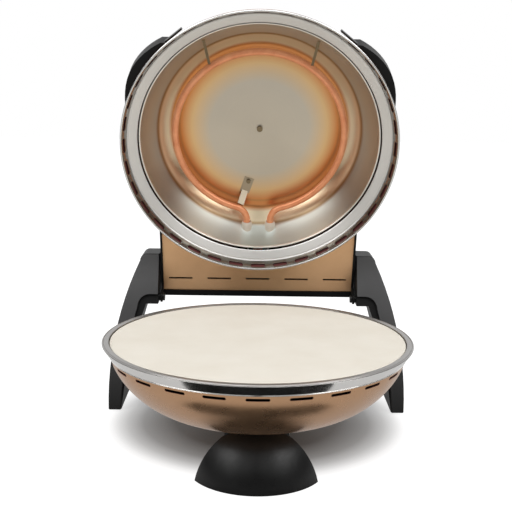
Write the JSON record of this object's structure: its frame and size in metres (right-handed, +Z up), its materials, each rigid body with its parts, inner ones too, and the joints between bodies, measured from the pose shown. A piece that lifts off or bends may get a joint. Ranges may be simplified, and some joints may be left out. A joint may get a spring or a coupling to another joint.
{
  "type": "electric pizza maker",
  "caption": "Countertop clamshell stone oven: copper-coloured bowl with a round stone, domed heated lid on a rear hinge between two black legs, control box on the lid.",
  "frame": {"origin": "on the floor, at the middle of the underside of the front foot's pad", "axes": "+X to the right seen from the front, +Y towards the hinge, +Z up"},
  "size_m": [0.3592, 0.4326, 0.4711],
  "materials": {
    "copper_paint": "satin",
    "polished_trim": "polished",
    "satin_steel": "satin",
    "pan_steel": "satin",
    "liner_steel": "brushed",
    "plain_steel": "satin",
    "black_steel": "satin",
    "stone": "matte",
    "element": "satin",
    "ceramic": "satin",
    "lead_sleeve": "matte",
    "black_plastic": "satin",
    "leg_grey": "satin",
    "knob_black": "satin",
    "lamp_lens": "gloss",
    "bulb_copper": "satin",
    "rubber": "matte"
  },
  "bodies": {
    "base": {"bowl_shell": "copper_paint", "rim_band": "polished_trim", "rim_ring": "satin_steel", "bowl_pan": "pan_steel", "lower_element": "element", "lower_clips": "plain_steel", "lower_terminals": "ceramic", "lower_leads": "lead_sleeve", "lead_conduit": "black_plastic", "front_foot": "black_plastic", "foot_pad": "rubber", "foot_screws": "plain_steel", "rear_yoke": "black_steel", "yoke_tongue": "black_steel", "yoke_screws": "plain_steel", "leg_left": "black_plastic", "leg_right": "black_plastic", "leg_back_left": "black_plastic", "leg_back_right": "black_plastic", "leg_cover_left": "leg_grey", "leg_cover_right": "leg_grey", "leg_pads": "rubber", "hinge_pin_left": "black_steel", "hinge_pin_right": "black_steel", "hinge_washers": "black_steel", "hinge_nuts": "plain_steel"},
    "lid": {"lid_shell": "copper_paint", "lid_lip": "polished_trim", "lid_ring": "satin_steel", "lid_liner": "liner_steel", "upper_element": "element", "element_glands": "ceramic", "element_straps": "plain_steel", "element_clip": "plain_steel", "clip_screw": "plain_steel", "centre_screw": "plain_steel", "handle_left": "black_plastic", "handle_right": "black_plastic", "handle_brackets": "plain_steel", "handle_screws": "plain_steel", "box_cover": "copper_paint", "box_cheek_left": "black_plastic", "box_cheek_right": "black_plastic", "box_end_cover": "black_plastic", "box_top_panel": "black_plastic", "box_screws": "black_steel", "thermostat": "ceramic", "thermostat_bulb": "bulb_copper", "bulb_clips": "plain_steel", "timer": "plain_steel", "pilot_lamp": "lamp_lens", "terminal_block": "ceramic", "element_leads": "lead_sleeve", "cord_gland": "rubber"},
    "stone": {"pizza_stone": "stone"},
    "thermostat_dial": {"thermostat_knob": "knob_black"},
    "timer_dial": {"timer_knob": "knob_black"}
  },
  "joints": [
    {"name": "lid_hinge", "type": "hinge", "parent": "base", "child": "lid", "pos_m": [0, 0.284, 0.128], "axis": [1, 0, 0], "range_deg": [0, 70.7]},
    {"name": "stone_lift", "type": "slide", "parent": "base", "child": "stone", "axis": [0, 0, 1], "range_m": [0, 0.12]},
    {"name": "thermostat_turn", "type": "hinge", "parent": "lid", "child": "thermostat_dial", "pos_m": [-0.062, 0.33552, 0.18419], "axis": [0, 0.9438, 0.3305], "range_deg": [-270, 0]},
    {"name": "timer_turn", "type": "hinge", "parent": "lid", "child": "timer_dial", "pos_m": [0.062, 0.33552, 0.18419], "axis": [0, 0.9438, 0.3305], "range_deg": [-300, 0]}
  ]
}
